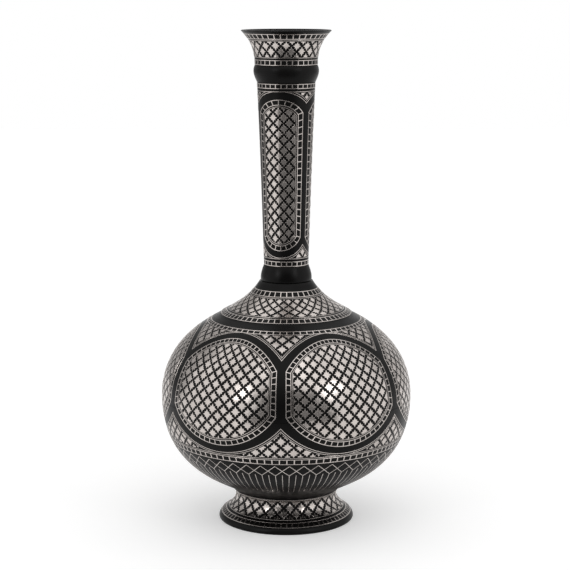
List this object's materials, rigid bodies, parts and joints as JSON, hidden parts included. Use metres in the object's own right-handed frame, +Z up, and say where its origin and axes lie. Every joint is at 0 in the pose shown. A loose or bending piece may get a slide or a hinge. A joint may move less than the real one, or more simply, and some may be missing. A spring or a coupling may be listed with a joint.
{
  "type": "long-necked bottle",
  "caption": "Footed globe bottle with a tall flared neck, in blackened cast zinc alloy inlaid all over with silver florets, ladder bands and framed panels.",
  "frame": {"origin": "centre of the foot's underside, on the surface that the bottle stands on", "axes": "+Z up along the bottle's axis, from the foot to the mouth; -Y is the side that faces the picture's camera"},
  "size_m": [0.1528, 0.1534, 0.3],
  "materials": {
    "blackened_zinc": "matte black patina with a soft sheen",
    "silver_inlay": "hammered flush and polished, a little tarnished at the edges"
  },
  "bodies": {
    "root": {"foot": "blackened_zinc", "lower_bowl": "blackened_zinc", "upper_bowl": "blackened_zinc", "lower_collar": "blackened_zinc", "neck_tube": "blackened_zinc", "upper_collar": "blackened_zinc", "mouth_bell": "blackened_zinc", "foot_ladder_band": "silver_inlay", "foot_line_band": "silver_inlay", "belly_ladder_band": "silver_inlay", "rim_ladder_band": "silver_inlay", "shoulder_ladder_band": "silver_inlay", "throat_ladder_band": "silver_inlay", "neck_ladder_band_low": "silver_inlay", "neck_ladder_band_high": "silver_inlay", "mouth_ladder_band_low": "silver_inlay", "mouth_ladder_band_high": "silver_inlay", "globe_panel_border_1": "silver_inlay", "globe_panel_border_2": "silver_inlay", "globe_panel_border_3": "silver_inlay", "globe_panel_border_4": "silver_inlay", "globe_panel_border_5": "silver_inlay", "globe_panel_border_6": "silver_inlay", "neck_panel_border_1": "silver_inlay", "neck_panel_border_2": "silver_inlay", "neck_panel_border_3": "silver_inlay"}
  },
  "joints": []
}
